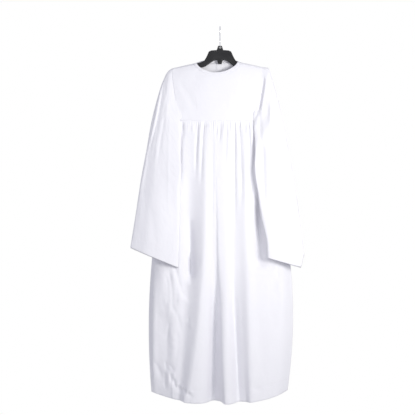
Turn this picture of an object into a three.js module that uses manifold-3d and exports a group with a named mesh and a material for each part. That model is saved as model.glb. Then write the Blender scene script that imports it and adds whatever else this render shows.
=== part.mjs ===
// A white baptismal gown hanging on a plastic clothes hanger, in millimetres.
// +Z is up and -Y is the gown's front. The origin is the inside top of the hanger's hook, where it lies on a rail.
// Left and right are as seen from the front, so left is -X. Each cloth panel is a thin wall, cut and seamed as on
// the real gown, and the gown is hollow and open at the neck, the cuffs and the hem.
import * as THREE from "three";
import { mergeVertices } from "three/addons/utils/BufferGeometryUtils.js";
import Module from "manifold-3d";

// ---- Driving dimensions ----
const CLOTH = 1.2; // wall of a cloth panel
const SEAM_GAP = 0.3; // between two panels at a seam
const GOWN_OFFSET = -10; // the gown hangs a little to the left of the hanger's middle

const SHOULDER_HALF = 157; // middle of the gown to the shoulder tip
const YOKE_HALF = 126; // half the yoke's width at its seam with the skirt
const YOKE_SEAM_Z = -331;
const ARMPIT_HALF = 150;
const ARMPIT_Z = -375;
const HEM_Z = -1303; // at the middle of the hem
const HEM_SIDE_RISE = 30; // the hem hangs higher at the side seams
const HEM_HALF = 240;

const NECK_HALF = 72;
const NECK_FRONT_DROP = 39;
const NECK_BACK_RISE = 14; // the bound back neck stands above the shoulders
const BINDING_WIDTH = 10;
const BACK_NECK_SETBACK = 1.4; // more gap where the back yokes turn down from the binding

const HANGER_THICK = 9;
const HANGER_HALF = 168;
const HUB_TOP_Z = -66;
const WIRE_RADIUS = 1.7;
const HOOK_INNER_RADIUS = 17;
const STEM_IN_HUB = 12;

const BUTTON_RADIUS = 6;
const BUTTON_THICK = 3;

// ---- Small helpers ----
const { lerp, clamp, smoothstep } = THREE.MathUtils;
const steps = (count) => Array.from({ length: count + 1 }, (_, i) => i / count);

// Turns rows of numbers into objects with named columns.
function table(columns, rows) {
  return rows.map((row) => Object.fromEntries(columns.map((name, i) => [name, row[i]])));
}

// The value of a column, by a smooth curve through the rows. t runs from 0 at the first row to 1 at the last.
function through(rows, column, t) {
  const at = clamp(t, 0, 1) * (rows.length - 1);
  const i = Math.min(Math.floor(at), rows.length - 2);
  const f = at - i;
  const value = (k) => rows[clamp(k, 0, rows.length - 1)][column];
  const slopeHere = (value(i + 1) - value(i - 1)) / 2;
  const slopeNext = (value(i + 2) - value(i)) / 2;
  const rise = value(i + 1) - value(i);
  return value(i) + f * (slopeHere + f * (3 * rise - 2 * slopeHere - slopeNext + f * (slopeHere + slopeNext - 2 * rise)));
}

// A smooth curve through three heights: `top` at v = 0, `mid` at v = vMid and `end` at v = 1.
function threePoint(top, mid, end, vMid, v) {
  const fromTop = (top * (v - vMid) * (v - 1)) / vMid;
  const fromMid = (mid * v * (v - 1)) / (vMid * (vMid - 1));
  const fromEnd = (end * v * (v - vMid)) / (1 - vMid);
  return fromTop + fromMid + fromEnd;
}

// A wall of cloth on the surface point(u, v), half its thickness to each side. The faces point out where u x v is
// the outward side, or with `flip` where it is the inward side.
function wallOn(point, us, vs, flip = false) {
  const across = us.length;
  const down = vs.length;
  const nudge = 1e-4;
  const [uEnd, vEnd] = [us[across - 1], vs[down - 1]];
  const positions = [];
  for (const side of [0.5, -0.5]) {
    for (const v of vs) {
      for (const u of us) {
        const du = point(Math.min(u + nudge, uEnd), v).sub(point(Math.max(u - nudge, us[0]), v));
        const dv = point(u, Math.min(v + nudge, vEnd)).sub(point(u, Math.max(v - nudge, vs[0])));
        const normal = du.cross(dv).normalize();
        positions.push(...point(u, v).addScaledVector(normal, flip ? -side * CLOTH : side * CLOTH).toArray());
      }
    }
  }
  const outer = (i, j) => j * across + i;
  const inner = (i, j) => across * down + outer(i, j);
  const index = [];
  const quad = (a, b, c, d) => (flip ? index.push(a, c, b, a, d, c) : index.push(a, b, c, a, c, d));
  const last = across - 1;
  for (let i = 0; i < last; i++) {
    for (let j = 0; j < down - 1; j++) {
      quad(outer(i, j), outer(i + 1, j), outer(i + 1, j + 1), outer(i, j + 1));
      quad(inner(i, j), inner(i, j + 1), inner(i + 1, j + 1), inner(i + 1, j));
    }
    quad(outer(i + 1, 0), outer(i, 0), inner(i, 0), inner(i + 1, 0));
    quad(outer(i, down - 1), outer(i + 1, down - 1), inner(i + 1, down - 1), inner(i, down - 1));
  }
  for (let j = 0; j < down - 1; j++) {
    quad(outer(0, j), outer(0, j + 1), inner(0, j + 1), inner(0, j));
    quad(outer(last, j + 1), outer(last, j), inner(last, j), inner(last, j + 1));
  }
  const geometry = new THREE.BufferGeometry();
  geometry.setAttribute("position", new THREE.Float32BufferAttribute(positions, 3));
  geometry.setIndex(index);
  geometry.computeVertexNormals();
  return geometry;
}

// ---- Finishes ----
const whiteCloth = new THREE.MeshStandardMaterial({ color: 0xf4f3f8, roughness: 0.85 });
const blackPlastic = new THREE.MeshStandardMaterial({ color: 0x2b2b2e, roughness: 0.45 });
const chromeWire = new THREE.MeshStandardMaterial({ color: 0xc9cacc, roughness: 0.15, metalness: 1 });
const buttonPlastic = new THREE.MeshStandardMaterial({ color: 0xf0eff2, roughness: 0.35 });

function named(name, geometry, material) {
  const mesh = new THREE.Mesh(geometry, material);
  mesh.name = name;
  return mesh;
}

// ---- The hanger's body ----
// Its upper and lower edge from the middle out: a tall centre, a step down, then a sloping arm. x is from the middle.
const HANGER_EDGES = table(
  ["x", "top", "bottom"],
  [
    [16, -81, -115.5],
    [30, -82, -122.5],
    [39, -86, -130],
    [43.5, -96, -133],
    [49, -108, -137],
    [55, -117.5, -139.5],
    [63, -122.5, -142],
    [84, -128, -146],
    [130, -138, -153],
    [HANGER_HALF, -147, -158.5],
  ],
);
const HUB_HALF_TOP = 6.6;
const HUB_HALF_BASE = 11.5;
const NUB_HALF_TOP = 10;
const NUB_HALF_BOTTOM = 5;
const NUB_BOTTOM_Z = -130;
const TIP_CORNER = 3.6; // cut off the arm's end
const EDGE_ROUND = 3.5; // all round the moulding's outline
const BORE_RADIUS = 2.2; // in the hub, round the hook's stem
const WINDOW_RADIUS = 4.2; // through the hub, where the end of the stem shows

// The height of the hanger's upper or lower edge at a distance x from its middle.
function hangerEdge(column, x) {
  const d = clamp(Math.abs(x), HANGER_EDGES[0].x, HANGER_HALF);
  const i = Math.max(HANGER_EDGES.findIndex((row) => row.x >= d), 1);
  const [a, b] = [HANGER_EDGES[i - 1], HANGER_EDGES[i]];
  return lerp(a[column], b[column], (d - a.x) / (b.x - a.x));
}

// The whole outline, clockwise from the hub: down the right side to the nub, and back up the left side.
function hangerOutline() {
  const arm = HANGER_EDGES.slice(0, -1);
  const tip = HANGER_EDGES[HANGER_EDGES.length - 1];
  const right = [
    [HUB_HALF_TOP, HUB_TOP_Z],
    [HUB_HALF_BASE, arm[0].top],
    ...arm.map((row) => [row.x, row.top]),
    [tip.x - TIP_CORNER, tip.top],
    [tip.x, tip.top - TIP_CORNER],
    [tip.x, tip.bottom + TIP_CORNER],
    [tip.x - TIP_CORNER, tip.bottom],
    ...arm.map((row) => [row.x, row.bottom]).reverse(),
    [NUB_HALF_TOP, arm[0].bottom - 1],
    [NUB_HALF_BOTTOM, NUB_BOTTOM_Z],
  ];
  const left = right.map(([x, z]) => [-x, z]).reverse();
  return [...right, ...left].map(([x, z]) => new THREE.Vector2(x, z));
}

// The same outline drawn in by a distance, each corner along the mean of its two sides' normals.
function drawnIn(outline, distance) {
  const inward = (from, to) => new THREE.Vector2(to.y - from.y, from.x - to.x).normalize();
  return outline.map((corner, i) => {
    const before = outline[(i + outline.length - 1) % outline.length];
    const after = outline[(i + 1) % outline.length];
    const [n1, n2] = [inward(before, corner), inward(corner, after)];
    return corner.clone().addScaledVector(n1.clone().add(n2), distance / (1 + n1.dot(n2)));
  });
}

function solidFrom(wasm, geometry) {
  const bare = geometry.clone();
  bare.deleteAttribute("normal");
  bare.deleteAttribute("uv");
  const merged = mergeVertices(bare, 1e-3);
  const vertProperties = merged.attributes.position.array;
  const triVerts = new Uint32Array(merged.index.array);
  return new wasm.Manifold(new wasm.Mesh({ numProp: 3, vertProperties, triVerts }));
}

function geometryFrom(solid) {
  const mesh = solid.getMesh();
  const geometry = new THREE.BufferGeometry();
  geometry.setAttribute("position", new THREE.BufferAttribute(mesh.vertProperties, 3));
  geometry.setIndex(new THREE.BufferAttribute(mesh.triVerts, 1));
  geometry.computeVertexNormals();
  return geometry;
}

function addHangerBody(parts, wasm) {
  const plate = new THREE.ExtrudeGeometry(new THREE.Shape(drawnIn(hangerOutline(), EDGE_ROUND)), {
    depth: HANGER_THICK - 2 * EDGE_ROUND,
    bevelThickness: EDGE_ROUND,
    bevelSize: EDGE_ROUND,
    bevelSegments: 3,
  });
  plate.translate(0, 0, EDGE_ROUND - HANGER_THICK / 2);
  plate.rotateX(Math.PI / 2); // the outline stands up
  const bore = new THREE.CylinderGeometry(BORE_RADIUS, BORE_RADIUS, 2 * STEM_IN_HUB, 16);
  bore.rotateX(Math.PI / 2);
  bore.translate(0, 0, HUB_TOP_Z);
  const window = new THREE.CylinderGeometry(WINDOW_RADIUS, WINDOW_RADIUS, HANGER_THICK + 2, 20);
  window.translate(0, 0, HUB_TOP_Z - STEM_IN_HUB / 2);
  const body = solidFrom(wasm, plate).subtract(solidFrom(wasm, bore)).subtract(solidFrom(wasm, window));
  parts.add(named("hanger_body", geometryFrom(body), blackPlastic));
}

// ---- The hanger's hook: one bent wire with a tip, most of a circle over the rail, a bend and a straight stem. A
// bead on the end of the stem holds it in the hub's window ----
const HOOK_TIP_ANGLE = 3.4; // from the far side of the circle
const HOOK_END_ANGLE = -0.85;
const HOOK_BEND_Z = -44;
const BEAD_RADIUS = 2.9;

function addHook(parts, wasm) {
  const radius = HOOK_INNER_RADIUS + WIRE_RADIUS;
  const circle = steps(16).map((t) => {
    const angle = lerp(HOOK_TIP_ANGLE, HOOK_END_ANGLE, t);
    return new THREE.Vector3(0, radius * Math.cos(angle), radius * Math.sin(angle) - HOOK_INNER_RADIUS);
  });
  const endZ = HUB_TOP_Z - STEM_IN_HUB / 2;
  const stem = [HOOK_BEND_Z, -54, HUB_TOP_Z, endZ].map((z) => new THREE.Vector3(0, 0, z));
  const section = new THREE.Shape().absarc(0, 0, WIRE_RADIUS, 0, 2 * Math.PI);
  const extrudePath = new THREE.CatmullRomCurve3([...circle, ...stem]);
  const wire = new THREE.ExtrudeGeometry(section, { steps: 40, curveSegments: 4, extrudePath });
  const bead = new THREE.SphereGeometry(BEAD_RADIUS, 12, 8);
  bead.translate(0, 0, endZ);
  const hook = solidFrom(wasm, wire).add(solidFrom(wasm, bead));
  parts.add(named("hanger_hook", geometryFrom(hook), chromeWire));
}

// ---- The yokes: two smooth panels that meet on the shoulder line, over the hanger's arms ----
const RIDGE_CLEAR = CLOTH / 2 + 2 * SEAM_GAP; // middle of the cloth above the hanger's arm
const RIDGE_ROUND = 9; // how the cloth turns over the arm
const ROUND_SHARE = 0.3; // of v, spent on that turn
const NECK_EDGE = BINDING_WIDTH + 0.5; // from the neck opening to the panels' own edge, which turns over the arms

// How far each yoke stands out from the hanger's plane: over the neck, below the arms at the middle and at the
// armhole, and for each mm further down. `drop` is how far the neck is cut down from the shoulders.
const FRONT_YOKE = { side: -1, bow: 12, fill: 13, fillEdge: 5, lean: 0.04, drop: NECK_FRONT_DROP };
const BACK_YOKE = { side: 1, bow: 14, fill: 6, fillEdge: 4, lean: 0.03, drop: -NECK_BACK_RISE };

// The shoulder line, on the hanger's arms and straight from one neck point to the other.
function ridgeZ(x) {
  const onArm = (at) => hangerEdge("top", at + GOWN_OFFSET) + RIDGE_CLEAR;
  if (Math.abs(x) >= NECK_HALF) return onArm(x);
  return lerp(onArm(-NECK_HALF), onArm(NECK_HALF), (x + NECK_HALF) / (2 * NECK_HALF));
}

// How far a yoke stands out at x, a given height below the shoulder line.
function yokeOut(yoke, x, below) {
  const turned = Math.sqrt(1 - (1 - clamp(below / RIDGE_ROUND, 0, 1)) ** 2);
  const fromNeck = clamp(Math.abs(x) / (NECK_HALF + NECK_EDGE), 0, 1);
  const overNeck = yoke.bow * Math.sqrt(1 - fromNeck ** 2) * (1 - turned);
  const toArmhole = clamp(Math.abs(x) / SHOULDER_HALF, 0, 1);
  const fill = lerp(yoke.fill, yoke.fillEdge, toArmhole ** 2) * (1 - Math.exp(-Math.max(below, 0) / 25));
  return SEAM_GAP / 2 + RIDGE_ROUND * turned + overNeck + fill + yoke.lean * Math.max(below, 0);
}

// Half the gown's width at the armhole seam, from the shoulder tip down to the yoke's corner.
function armholeHalf(z) {
  const tipZ = ridgeZ(SHOULDER_HALF);
  const s = clamp((tipZ - z) / (tipZ - YOKE_SEAM_Z), 0, 1);
  return YOKE_HALF + (SHOULDER_HALF - YOKE_HALF) * Math.cos((s * Math.PI) / 2);
}

// The neck's edge in a yoke, at an angle from the neck point (0) to the middle (a right angle).
function neckEdge(yoke, angle, wide) {
  const x = (NECK_HALF + wide) * Math.cos(angle) ** 1.11;
  const below = (yoke.drop + wide) * Math.sin(angle) ** 1.2;
  return { x, below };
}

// A yoke's cloth. u runs from -1 at the left armhole to 1 at the right one, the middle half of it along the neck.
// v runs down, to the seam with the skirt.
function yokePoint(yoke, u, v) {
  const hand = Math.sign(u) || 1;
  const shoulder = clamp(2 * Math.abs(u) - 1, 0, 1);
  const neck = neckEdge(yoke, Math.max(0, 1 - 2 * Math.abs(u)) * (Math.PI / 2), NECK_EDGE);
  const topX = hand * lerp(neck.x, SHOULDER_HALF, shoulder);
  const topZ = ridgeZ(topX) - neck.below;
  const turn = RIDGE_ROUND * (1 - Math.cos((Math.min(v / ROUND_SHARE, 1) * Math.PI) / 2));
  const bottomZ = YOKE_SEAM_Z + SEAM_GAP / 2;
  const height = ridgeZ(topX) - bottomZ;
  const fall = v < ROUND_SHARE ? turn : lerp(RIDGE_ROUND, height, (v - ROUND_SHARE) / (1 - ROUND_SHARE));
  const z = lerp(topZ, bottomZ, fall / height);
  const x = (topX * armholeHalf(z)) / armholeHalf(topZ);
  return new THREE.Vector3(x, yoke.side * yokeOut(yoke, x, ridgeZ(x) - z), z);
}

const YOKE_ROWS = [0, 0.1, 0.2, 0.3, 0.4, 0.52, 0.64, 0.76, 0.88, 1];
const NECK_COLUMNS = [0.1, 0.2, 0.3, 0.38, 0.44, 0.47, 0.49, 0.5];
const SHOULDER_COLUMNS = [0.6, 0.7, 0.8, 0.9, 1];
const SLIT_COLUMN = 0.0035; // u at the centre-back edge of a half yoke, which leaves a slit 1.1 mm wide

const mirroredOf = (columns) => columns.map((u) => -u).reverse();

function addYokes(gown) {
  const rightHalf = [...NECK_COLUMNS, ...SHOULDER_COLUMNS];
  const frontPoint = (u, v) => yokePoint(FRONT_YOKE, u, v);
  const backPoint = (u, v) => yokePoint(BACK_YOKE, u, v);
  const halfBack = [SLIT_COLUMN, ...rightHalf];
  const front = wallOn(frontPoint, [...mirroredOf(rightHalf), 0, ...rightHalf], YOKE_ROWS, true);
  gown.add(named("front_yoke", front, whiteCloth));
  gown.add(named("back_yoke_left", wallOn(backPoint, mirroredOf(halfBack), YOKE_ROWS), whiteCloth));
  gown.add(named("back_yoke_right", wallOn(backPoint, halfBack, YOKE_ROWS), whiteCloth));
}

// ---- The neck's binding: one narrow strip round the neck, open at the centre back ----
// `around` is an angle round the neck: 0 at the centre front, a right angle at each neck point, on the right above 0.
// w runs from the neck's edge to the seam with the yokes.
function bindingPoint(around, w) {
  const yoke = Math.abs(around) <= Math.PI / 2 ? FRONT_YOKE : BACK_YOKE;
  const setback = yoke === BACK_YOKE ? BACK_NECK_SETBACK : 0;
  const wide = w * (BINDING_WIDTH - setback);
  const edge = neckEdge(yoke, Math.abs(Math.PI / 2 - Math.abs(around)), wide);
  const x = Math.sign(around) * edge.x;
  const asOnYoke = (x * (NECK_HALF + NECK_EDGE)) / (NECK_HALF + wide);
  return new THREE.Vector3(x, yoke.side * yokeOut(yoke, asOnYoke, edge.below), ridgeZ(x) - edge.below);
}

function addBinding(gown) {
  const front = [0, ...NECK_COLUMNS].map((u) => u * Math.PI);
  const back = [SLIT_COLUMN, ...NECK_COLUMNS.slice(0, -1)].map((u) => (1 - u) * Math.PI).reverse();
  const right = [...front.slice(1), ...back];
  const geometry = wallOn(bindingPoint, [...mirroredOf(right), 0, ...right], [0, 0.5, 1], true);
  gown.add(named("neck_binding", geometry, whiteCloth));
}

// ---- The back neck's button, just below the binding on the left half ----
const BUTTON_X = -9;
const BUTTON_BELOW = 15; // its middle below the shoulder line

function addButton(gown) {
  const button = new THREE.CylinderGeometry(BUTTON_RADIUS, BUTTON_RADIUS, BUTTON_THICK, 24);
  const z = ridgeZ(BUTTON_X) - BUTTON_BELOW;
  const cloth = yokeOut(BACK_YOKE, BUTTON_X, BUTTON_BELOW + BUTTON_RADIUS) + CLOTH / 2;
  const mesh = named("back_button", button, buttonPlastic);
  mesh.position.set(BUTTON_X, cloth + SEAM_GAP + BUTTON_THICK / 2, z);
  gown.add(mesh);
}

// ---- The skirts: a front and a back panel, gathered into the yokes and hanging in long folds ----
// One row for each line that runs down the cloth, from the left side seam to the right one. The columns are the
// line's place across at the top, about half-way down and at the hem, and how far it stands out at the last two.
const FOLD_COLUMNS = ["top", "mid", "hem", "midOut", "hemOut"];
const FRONT_FOLDS = table(FOLD_COLUMNS, [
  [-150, -227, -229, 3, 5],
  [-146, -211, -212, 15, 14],
  [-140, -190, -192, 25, 22],
  [-134, -168, -175, 32, 30],
  [-126, -146, -158, 41, 37],
  [-114, -122, -146, 40, 43],
  [-97, -104, -134, 38, 46],
  [-50, -46, -98, 64, 74],
  [-36, -34, -72, 62, 73],
  [-16, -20, -42, 56, 62],
  [-8, -12, -20, 54, 42],
  [-2, -3, 8, 54, 40],
  [4, 8, 26, 61, 78],
  [24, 26, 44, 61, 77],
  [45, 42, 64, 56, 64],
  [58, 56, 78, 48, 52],
  [70, 74, 96, 50, 54],
  [84, 100, 112, 58, 70],
  [108, 132, 146, 51, 64],
  [126, 170, 180, 46, 54],
  [141, 216, 210, 37, 38],
  [150, 253, 245, 3, 5],
]);
const BACK_FOLDS = table(FOLD_COLUMNS, [
  [-150, -227, -229, -3, -5],
  [-141, -206, -196, 20, 30],
  [-126, -168, -172, 22, 26],
  [-104, -132, -140, 44, 54],
  [-92, -112, -122, 30, 28],
  [-62, -84, -88, 32, 34],
  [-50, -66, -70, 50, 62],
  [-26, -38, -44, 52, 64],
  [-16, -26, -30, 36, 32],
  [10, -4, -2, 36, 32],
  [22, 14, 16, 54, 66],
  [48, 52, 54, 52, 64],
  [58, 66, 68, 34, 32],
  [84, 96, 94, 34, 34],
  [96, 112, 112, 48, 58],
  [112, 142, 140, 44, 54],
  [126, 170, 168, 24, 30],
  [140, 220, 208, 22, 32],
  [150, 253, 245, -3, -5],
]);
const MID_V = 0.48; // the second of those three heights, as a share of the way down
const GATHER_WIDE = 6; // half the width of the main gathers, which run down from the yoke's seam
const GATHER_COLUMNS = ["x", "toX", "toZ", "deep"];
const FRONT_GATHERS = table(GATHER_COLUMNS, [
  [-120, -122, -392, 2],
  [-65, -74, -520, 3],
  [-47, -56, -560, 4],
  [6, 2, -404, 2],
  [33, 28, -470, 3],
  [60, 62, -690, 4],
  [76, 84, -640, 4],
  [109, 115, -470, 2],
]);
const BACK_GATHERS = table(GATHER_COLUMNS, [
  [-108, -112, -470, 3],
  [-86, -90, -520, 4],
  [-64, -67, -420, 2],
  [-42, -48, -560, 4],
  [-20, -22, -430, 2],
  [2, -1, -500, 3],
  [23, 26, -560, 4],
  [55, 60, -540, 4],
  [77, 80, -440, 2],
  [99, 104, -500, 3],
]);
const SKIRT_ROWS = [0, 0.015, 0.04, 0.08, 0.15, 0.24, 0.36, 0.5, 0.66, 0.83, 1];
const COLUMN_WIDTH = 7; // at the top of the skirt

const FRONT_SKIRT = { side: -1, folds: FRONT_FOLDS, gathers: FRONT_GATHERS, yoke: FRONT_YOKE };
const BACK_SKIRT = { side: 1, folds: BACK_FOLDS, gathers: BACK_GATHERS, yoke: BACK_YOKE };

const cornerOut = (yoke) => yokeOut(yoke, YOKE_HALF, ridgeZ(YOKE_HALF) - YOKE_SEAM_Z);

// The lower armhole, from the yoke's corner (t = 0) to the armpit (1): half the width, height and standing out.
function lowerArmhole(yoke, t) {
  return {
    half: lerp(YOKE_HALF, ARMPIT_HALF, t ** 1.3),
    z: lerp(YOKE_SEAM_Z, ARMPIT_Z, t) - SEAM_GAP / 2,
    out: cornerOut(yoke) * Math.sqrt(Math.max(0, 1 - t * t)) + ((CLOTH + SEAM_GAP) / 2) * t,
  };
}

// The skirt's upper edge: along the yoke's seam, and past its corners along the lower armholes.
function skirtTop(yoke, x) {
  if (Math.abs(x) <= YOKE_HALF) {
    return { z: YOKE_SEAM_Z - SEAM_GAP / 2, out: yokeOut(yoke, x, ridgeZ(x) - YOKE_SEAM_Z) };
  }
  return lowerArmhole(yoke, clamp((Math.abs(x) - YOKE_HALF) / (ARMPIT_HALF - YOKE_HALF), 0, 1) ** (1 / 1.3));
}

// The cloth's width from the left side seam to each line, the mean of its widths half-way down and at the hem.
function clothWidths(folds) {
  const widths = [0];
  for (let i = 1; i < folds.length; i++) {
    const [a, b] = [folds[i - 1], folds[i]];
    const atMid = Math.hypot(b.mid - a.mid, b.midOut - a.midOut);
    const atHem = Math.hypot(b.hem - a.hem, b.hemOut - a.hemOut);
    widths.push(widths[i - 1] + (atMid + atHem) / 2);
  }
  return widths;
}

// The value of a column at u, which counts along the rows: a smooth curve over the cloth's width.
function acrossFolds(folds, column, u) {
  const widths = clothWidths(folds);
  const last = folds.length - 1;
  const rise = (k) => (folds[k + 1][column] - folds[k][column]) / (widths[k + 1] - widths[k]);
  const slope = (k) => {
    if (k === 0) return rise(0);
    if (k === last) return rise(last - 1);
    const [before, after] = [widths[k] - widths[k - 1], widths[k + 1] - widths[k]];
    return (rise(k - 1) * after + rise(k) * before) / (before + after);
  };
  const i = clamp(Math.floor(u), 0, last - 1);
  const t = u - i;
  const wide = widths[i + 1] - widths[i];
  const [low, high] = [folds[i][column], folds[i + 1][column]];
  const [lead, follow] = [slope(i) * wide, slope(i + 1) * wide];
  const bend = 3 * (high - low) - 2 * lead - follow + t * (lead + follow - 2 * (high - low));
  return low + t * (lead + t * bend);
}

// How far the gathers draw the cloth in at a place below the yoke's seam.
function gathersAt(gathers, x, z) {
  const fallen = YOKE_SEAM_Z - z;
  let drawn = 0;
  for (const gather of gathers) {
    const share = fallen / (YOKE_SEAM_Z - gather.toZ);
    const aside = x - lerp(gather.x, gather.toX, share);
    const fade = smoothstep(fallen, 0, 30) * (1 - smoothstep(share, 0.55, 1.15));
    drawn += (gather.deep * fade) / Math.cosh(Math.min(Math.abs(aside) / GATHER_WIDE, 30));
  }
  return drawn;
}

// u counts along the rows of the skirt's table and v runs down.
function skirtPoint(skirt, u, v) {
  const [topX, midX, hemX, midOut, hemOut] = FOLD_COLUMNS.map((column) => acrossFolds(skirt.folds, column, u));
  const top = skirtTop(skirt.yoke, topX);
  const hemZ = HEM_Z + HEM_SIDE_RISE * (Math.abs(hemX) / HEM_HALF) ** 2.5;
  const sideSeam = (CLOTH + SEAM_GAP) / 2;
  const x = threePoint(topX, midX, hemX, MID_V, v);
  const z = lerp(top.z, hemZ, v);
  const out = threePoint(top.out, midOut + sideSeam, hemOut + sideSeam, MID_V, v);
  return new THREE.Vector3(x, skirt.side * (out - gathersAt(skirt.gathers, x, z)), z);
}

// Every line of the table is a column, with more between lines that lie wide apart.
function skirtColumns(folds) {
  const columns = [0];
  for (let i = 1; i < folds.length; i++) {
    const parts = Math.max(1, Math.round((folds[i].top - folds[i - 1].top) / COLUMN_WIDTH));
    for (let k = 1; k <= parts; k++) columns.push(i - 1 + k / parts);
  }
  return columns;
}

function addSkirts(gown) {
  const front = wallOn((u, v) => skirtPoint(FRONT_SKIRT, u, v), skirtColumns(FRONT_FOLDS), SKIRT_ROWS, true);
  const back = wallOn((u, v) => skirtPoint(BACK_SKIRT, u, v), skirtColumns(BACK_FOLDS), SKIRT_ROWS);
  gown.add(named("front_skirt", front, whiteCloth));
  gown.add(named("back_skirt", back, whiteCloth));
}

// ---- The sleeves: a front and a back panel each, seamed over the arm and under it, from the armhole to the cuff.
// They hang in front of the skirt's sides ----
// One row for each section below the armhole. outX, outZ and outY are the fold over the arm, inX, inZ and inY the
// underarm seam. edge, third and inner are how far the front layer stands out from the middle of the section near
// its outer fold, a third of the way across and near its inner edge. back and backIn are how far the back layer
// stands behind in its outer half and in its inner half, which lies on the skirt.
// tuck is how far the front layer stands inwards past the underarm, and dip how far its outer corner hangs down.
const FOLD_OVER_ARM = ["outX", "outZ", "outY"];
const UNDERARM = ["inX", "inZ", "inY"];
const LAYERS = ["edge", "third", "inner", "back", "backIn", "tuck", "dip"];
const SLEEVE_COLUMNS = [...FOLD_OVER_ARM, ...UNDERARM, ...LAYERS];
const LEFT_SLEEVE = table(SLEEVE_COLUMNS, [
  [170, -155, 0, 160, -393, -12, 19, 20, 20, 22, 22, 33, 0],
  [181, -172, 0, 163, -425, -22, 19, 20, 19, 18, 18, 38, 0],
  [200, -222, -4, 150, -470, -30, 19, 20, 18, 16, 8, 28, 0],
  [227, -327, -12, 138, -530, -39, 18, 19, 18, 15, 5, 24, 0],
  [245, -432, -20, 130, -590, -43, 15, 19, 17, 15, 3, 6, 0],
  [264, -536, -26, 129, -660, -45, 13, 19, 16, 15, 3, 0, 0],
  [282, -658, -30, 131, -745, -47, 13, 20, 15, 15, 3, 0, 0],
  [300, -771, -34, 134, -839, -48, 13, 20, 15, 16, 3, 0, 0],
]);
const RIGHT_SLEEVE = table(SLEEVE_COLUMNS, [
  [180, -146, 0, 160, -393, -12, 20, 20, 23, 22, 22, 36, 0],
  [190, -175, 0, 166, -425, -25, 18, 19, 18, 18, 18, 40, 0],
  [203, -222, -4, 156, -470, -39, 18, 19, 17, 16, 12, 32, 0],
  [229, -327, -10, 140, -530, -47, 18, 19, 16, 15, 4, 22, 0],
  [247, -432, -16, 141, -600, -53, 17, 19, 16, 15, 4, 8, 0],
  [266, -536, -22, 153, -675, -58, 17, 19, 16, 15, 8, 0, 0],
  [284, -662, -28, 168, -742, -64, 17, 19, 15, 15, 12, 0, 10],
  [300, -797, -34, 172, -804, -68, 17, 19, 15, 16, 12, 0, 46],
]);
const SLEEVE_ROWS = [0, 0.06, 0.125, 0.18, 0.25, 0.31, 0.375, 0.44, 0.5, 0.6, 0.7, 0.8, 0.9, 1];
const HALF_RING = 12; // columns from the fold over the arm to the underarm seam
const YOKE_PART = YOKE_ROWS.length - 1; // of them, those along the yoke's edge
const SLEEVE_SETBACK = 1.8; // of the sleeve's edge from the skirt's, along the lower armhole
const SLEEVE_SEAM = 2.6e-4; // u left out beside each seam, which leaves about SEAM_GAP between the panels

// The armhole's edge at column k of half a ring: down the yoke's side, then along the lower armhole.
function armholePoint(yoke, hand, k) {
  if (k <= YOKE_PART) {
    const row = clamp(Math.floor(k), 0, YOKE_PART - 1);
    const p = yokePoint(yoke, hand, lerp(YOKE_ROWS[row], YOKE_ROWS[row + 1], k - row));
    p.x += hand * 2 * SEAM_GAP;
    p.y += yoke.side * SLEEVE_SETBACK * smoothstep(k, YOKE_PART - 3, YOKE_PART);
    return p;
  }
  const t = (k - YOKE_PART) / (HALF_RING - YOKE_PART);
  const edge = lowerArmhole(yoke, t);
  const x = edge.half + lerp(2 * SEAM_GAP, SLEEVE_SETBACK, t);
  const out = edge.out + SLEEVE_SETBACK * Math.sqrt(1 - t * t);
  return new THREE.Vector3(hand * x, yoke.side * out, edge.z + SEAM_GAP);
}

// A point of one section below the armhole; w runs from the fold over the arm to the underarm seam.
function sectionPoint(row, hand, isFront, w) {
  const inwards = (1 - Math.cos(w * Math.PI)) / 2;
  const bulge = Math.sin(w * Math.PI) ** 0.6;
  const outerPart = lerp(row.edge, row.third, smoothstep(inwards, 0, 0.35));
  const innerPart = lerp(row.third, row.inner, smoothstep(inwards, 0.35, 1));
  const depth = inwards < 0.35 ? outerPart : innerPart;
  const behind = lerp(row.back, row.backIn, smoothstep(inwards, 0.4, 0.75));
  const tucked = isFront && w > 0.5 ? Math.sin((w - 0.5) * 2 * Math.PI) ** 2 : 0;
  const dipped = isFront ? (1 - inwards) * smoothstep(inwards, 0, 0.12) : 0;
  const x = lerp(row.outX, row.inX, inwards) - row.tuck * tucked;
  const middle = lerp(row.outY, row.inY, inwards);
  const y = isFront ? middle - depth * bulge - Math.min(row.tuck, 4) * tucked : middle + behind * bulge;
  const z = lerp(row.outZ, row.inZ, inwards) - row.dip * dipped;
  return new THREE.Vector3(hand * x, y, z);
}

// u runs once round the sleeve, over the front first, and v from the armhole to the cuff.
function sleevePoint(rows, hand, u, v) {
  const around = (((u % 1) + 1) % 1) * 2 * HALF_RING;
  const isFront = around <= HALF_RING;
  const k = isFront ? around : 2 * HALF_RING - around;
  const sections = [armholePoint(isFront ? FRONT_YOKE : BACK_YOKE, hand, k)];
  for (const row of rows) sections.push(sectionPoint(row, hand, isFront, k / HALF_RING));
  return new THREE.Vector3(...["x", "y", "z"].map((axis) => through(sections, axis, v)));
}

function addSleeve(gown, side, rows, hand) {
  const point = (u, v) => sleevePoint(rows, hand, u, v);
  const half = steps(HALF_RING).map((t) => lerp(SLEEVE_SEAM, 0.5 - SLEEVE_SEAM, t));
  const front = wallOn(point, half, SLEEVE_ROWS, hand < 0);
  const back = wallOn(point, half.map((u) => u + 0.5), SLEEVE_ROWS, hand < 0);
  gown.add(named(`${side}_sleeve_front`, front, whiteCloth));
  gown.add(named(`${side}_sleeve_back`, back, whiteCloth));
}

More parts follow.
